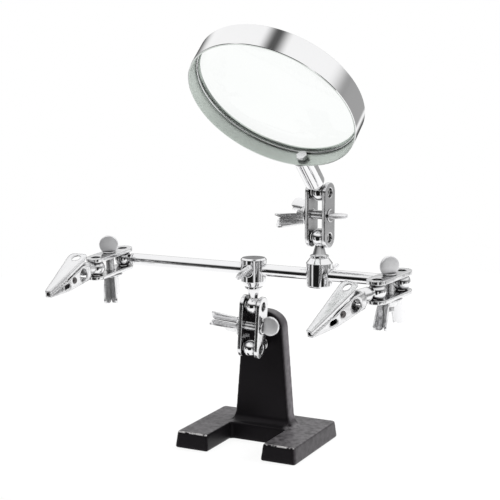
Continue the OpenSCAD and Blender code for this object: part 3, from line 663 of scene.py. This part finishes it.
def addThumbscrew(name, place, node, seat=screwSet["seat"], tip=screwSet["tip"], aside=0):
    foot = seat + screwSet["gap"]
    top = foot + screwSet["collarT"]
    shells = Shells()
    shells.skin(threadRings(tip, foot))
    shells.skin(collarRings(foot, top))
    shells.skin(headRings(top, aside))
    piece = addPiece(name, shells.points, shells.faces, place, node)
    smoothEdges(piece, screwSet["crease"])
    # the heads take the satin finish with its painted reflection
    piece.data.materials.append(satinHeadPaintedReflection)
    back = place.inverted()
    for face in piece.data.polygons:
        if (back @ (face.center / mm)).x > top + screwSet["headFrom"]:
            face.material_index = 1


headTurn = screwSet["turns"]
crossScrew = crossBlock @ spin(-90, "Z") @ spin(headTurn["cross"], "X")
magScrew = magBlock @ spin(180, "X") @ spin(-90, "Z") @ spin(headTurn["mag"], "X")
addThumbscrew("threadedCentreScrew", screwPlace(centreClamp, headTurn["centre"]), "centre_thumbscrew",
              aside=screwSet["centreAside"])
addThumbscrew("threadedMagClampScrew", screwPlace(magClamp, headTurn["magClamp"]), "mag_clamp_thumbscrew")
addThumbscrew("threadedLeftScrew", screwPlace(leftClamp, headTurn["left"]), "left_thumbscrew")
addThumbscrew("threadedRightScrew", screwPlace(rightClamp, headTurn["right"]), "right_thumbscrew")
addThumbscrew("threadedCrossScrew", crossScrew, "cross_thumbscrew",
              screwSet["crossSeat"], screwSet["blockTip"])
addThumbscrew("threadedMagScrew", magScrew, "mag_thumbscrew",
              screwSet["magSeat"], screwSet["blockTip"])
print("thumbscrews cut")

# torsion springs of the clips, each turn as round as the wire
springSet = {
    "pivot": 18.3, "drop": 0.9, "coilR": 1.9, "wireD": 0.7, "from": 277, "to": 1479, "width": 3.84,
    "floorLeg": 10.2, "tabLeg": 7.09, "legSteps": (0.33, 0.66, 1), "sides": 12, "perTurn": 24,
    "tipR": 0.6, "tipSlide": 0.35, "twist": 0.4, "crease": 50,
}


def springPath():
    s = springSet
    sweep = s["to"] - s["from"]
    count = round(sweep / 360 * s["perTurn"])
    coil = []
    for i in range(count + 1):
        a = math.radians(s["from"] + sweep * i / count)
        coil.append(Vector((s["pivot"] + s["coilR"] * math.cos(a), s["width"] * (i / count - 0.5),
                            -s["drop"] + s["coilR"] * math.sin(a))))
    first = math.radians(s["from"] + 90)
    last = math.radians(s["to"] + 90)
    back = Vector((math.cos(first), 0, math.sin(first)))
    up = Vector((math.cos(last), 0, math.sin(last)))
    start = [coil[0] - back * s["floorLeg"] * f for f in reversed(s["legSteps"])]
    end = [coil[-1] + up * s["tabLeg"] * f for f in s["legSteps"]]
    return start + coil + end


def wireRing(centre, way, r):
    across = way.cross(Vector((0, 1, 0))).normalized()
    side = way.cross(across).normalized()
    return [centre + across * r * math.cos(a) + side * r * math.sin(a) for a in anglesOf(springSet["sides"])]


def addSpring(name, place, node):
    s = springSet
    path = springPath()
    ways = [(path[min(i + 1, len(path) - 1)] - path[max(i - 1, 0)]).normalized() for i in range(len(path))]
    r = s["wireD"] / 2
    slide = r * s["tipSlide"]
    rings = [wireRing(path[0], ways[0], r * s["tipR"])]
    rings.append(wireRing(path[0] + ways[0] * slide, ways[0], r))
    rings += [wireRing(centre, way, r) for centre, way in zip(path[1:-1], ways[1:-1])]
    rings.append(wireRing(path[-1] - ways[-1] * slide, ways[-1], r))
    rings.append(wireRing(path[-1], ways[-1], r * s["tipR"]))
    shells = Shells()
    shells.skin(rings)
    piece = addPiece(name, shells.points, shells.faces, place, node, rigid=False)
    smoothEdges(piece, s["crease"])
    # two points on the pin towards the ends of the coil, which nothing uses further; the spring is baked
    # where it stands
    ends = [Vector((s["pivot"], s["width"] * f, -s["drop"])) for f in (-s["twist"], s["twist"])]
    first, last = (place @ end * mm for end in ends)
    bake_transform(piece)


addSpring("woundLeftSpring", jawPlace(leftClamp, *placeSet["leftClip"]), "left_spring")
addSpring("woundRightSpring", jawPlace(rightClamp, *placeSet["rightClip"]), "right_spring")
print("springs wound")

# pressed wing nuts: each ear is one sheet, folded and curled
nutSet = {
    "seat": 6.468, "gap": 0.05, "flangeR": 7, "flangeT": 1, "hubFoot": 4.7, "hubR": 4.2, "hubH": 4,
    "boreR": 2.6, "soft": 0.25, "filletOut": 0.5, "filletIn": 0.1, "filletUp": 0.3, "sides": 64,
    "wingH": 16.6, "foldR": 4.6, "lean": 13, "leafW": 7.2, "leafT": 0.9, "tipShare": 0.3, "footShare": 0.6,
    "edgeShare": 0.985, "foldAngle": 33, "settle": 3, "foldSharp": 0.05, "curl": 32,
    "across": 10, "bends": 4, "up": 14, "edge": 0.25, "edgeSteps": 2, "edgeFrom": 50, "crease": 40,
    "turns": {"centre": 70, "mag": 105, "left": 35, "right": 7},
}


def hubRings():
    s = nutSet
    soft = s["soft"]
    profile = [
        (s["boreR"], 0), (s["flangeR"] - soft, 0), (s["flangeR"], soft), (s["flangeR"], s["flangeT"] - soft),
        (s["flangeR"] - soft, s["flangeT"]), (s["hubFoot"] + s["filletOut"], s["flangeT"]),
        (s["hubFoot"] + s["filletIn"], s["flangeT"] + s["filletUp"]), (s["hubR"], s["hubH"] - soft),
        (s["hubR"] - soft, s["hubH"]), (s["boreR"], s["hubH"]),
    ]
    return [[(r * math.cos(a), r * math.sin(a), z) for a in anglesOf(s["sides"])] for r, z in profile]


# the bent line across one leaf, from the fold outwards
def bentLine():
    s = nutSet
    steps = s["across"] * s["bends"]
    line = [(0.0, 0.0, 90.0)]
    x = 0.0
    y = 0.0
    for i in range(1, steps + 1):
        f = (i - 0.5) / steps
        a = s["foldAngle"] - s["settle"] + s["curl"] * (1 - 2 * f)
        a += (90 - s["foldAngle"]) * math.exp(-f / s["foldSharp"])
        x += math.cos(math.radians(a)) * s["leafW"] / steps
        y += math.sin(math.radians(a)) * s["leafW"] / steps
        if i % s["bends"] == 0:
            line.append((x, y, a))
    return line


# columns of one ear, from the tip of one leaf over the fold to the other
def earColumns():
    s = nutSet
    line = bentLine()
    rise = math.tan(math.radians(s["lean"]))
    tipR = s["leafW"] * s["tipShare"]
    shoulder = s["wingH"] - tipR
    footW = s["leafW"] * s["footShare"]
    footUp = s["flangeT"] / 2 + footW * rise
    columns = []
    for j in range(-s["across"], s["across"] + 1):
        along = min(abs(j) / s["across"] * s["leafW"], s["leafW"] * s["edgeShare"])
        x, y, a = line[abs(j)]
        sign = 1 if j >= 0 else -1
        normal = Vector((-math.sin(math.radians(a)), sign * math.cos(math.radians(a)), 0))
        low = s["flangeT"] / 2 + along * rise
        if along > footW:
            low = footUp + (along - footW) / (s["leafW"] - footW) * (shoulder - footUp)
        inset = max(tipR - along, along - (s["leafW"] - tipR), 0)
        high = shoulder + math.sqrt(max(0, tipR ** 2 - inset ** 2))
        columns.append((Vector((x, sign * y, 0)), normal, low, high))
    return columns


# faces of a sheet with two sides: columns of rows + 1 points, then the same for the other side
def sheetFaces(wide, rows):
    def index(c, r, side):
        return (side * wide + c) * (rows + 1) + r

    faces = []
    for side in (0, 1):
        for c in range(wide - 1):
            for r in range(rows):
                faces.append((index(c, r, side), index(c + 1, r, side), index(c + 1, r + 1, side),
                              index(c, r + 1, side)))
    for c in range(wide - 1):
        for r in (0, rows):
            faces.append((index(c, r, 0), index(c + 1, r, 0), index(c + 1, r, 1), index(c, r, 1)))
    for r in range(rows):
        for c in (0, wide - 1):
            faces.append((index(c, r, 0), index(c, r + 1, 0), index(c, r + 1, 1), index(c, r, 1)))
    return faces


def addWingNut(name, clamp, turn, node):
    s = nutSet
    shells = Shells()
    shells.skin(hubRings(), loop=True)
    columns = earColumns()
    for half in (0, 180):
        ear = spin(half, "Z") @ shift(s["foldR"], 0, 0) @ spin(s["lean"], "Y")
        sheet = []
        for side in (1, -1):
            for at, normal, low, high in columns:
                for r in range(s["up"] + 1):
                    up = low + (high - low) * r / s["up"]
                    sheet.append(ear @ (at + normal * side * s["leafT"] / 2 + Vector((0, 0, up))))
        shells.take(sheet, sheetFaces(len(columns), s["up"]))
    place = screwPlace(clamp, turn) @ shift(-s["seat"] - s["gap"], 0, 0) @ spin(-90, "Y")
    piece = addPiece(name, shells.points, shells.faces, place, node)
    smoothEdges(piece, s["crease"])
    piece.data.materials[0] = pressedLeaf
    roundEdges(piece, s["edge"], s["edgeSteps"], s["edgeFrom"])


nutTurn = nutSet["turns"]
addWingNut("pressedCentreNut", centreClamp, nutTurn["centre"], "centre_wing_nut")
addWingNut("pressedMagNut", magClamp, nutTurn["mag"], "mag_wing_nut")
addWingNut("pressedLeftNut", leftClamp, nutTurn["left"], "left_wing_nut")
addWingNut("pressedRightNut", rightClamp, nutTurn["right"], "right_wing_nut")
print("wing nuts pressed")

# the casting with its edges as soft as poured iron, lengths in millimetres
castSet = {"weld": 0.02, "grain": 0.5, "smooth": 16, "pull": 0.5}


def addCasting():
    node = nodes["base_casting"]
    mesh = node.data.copy()
    mesh.name = "castBase"
    mesh.materials.clear()
    mesh.materials.append(finishes["black_paint"])
    piece = bpy.data.objects.new("castBase", mesh)
    scene.collection.objects.link(piece)
    weld = piece.modifiers.new("weld", "WELD")
    weld.merge_threshold = castSet["weld"] * mm
    cast = piece.modifiers.new("cast", "REMESH")
    cast.mode = "VOXEL"
    cast.voxel_size = castSet["grain"] * mm
    cast.use_smooth_shade = True
    soften = piece.modifiers.new("soften", "SMOOTH")
    soften.iterations = castSet["smooth"]
    soften.factor = castSet["pull"]
    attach(piece, bodyOf["base_casting"])
    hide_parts("base_casting")


addCasting()
print("casting softened")
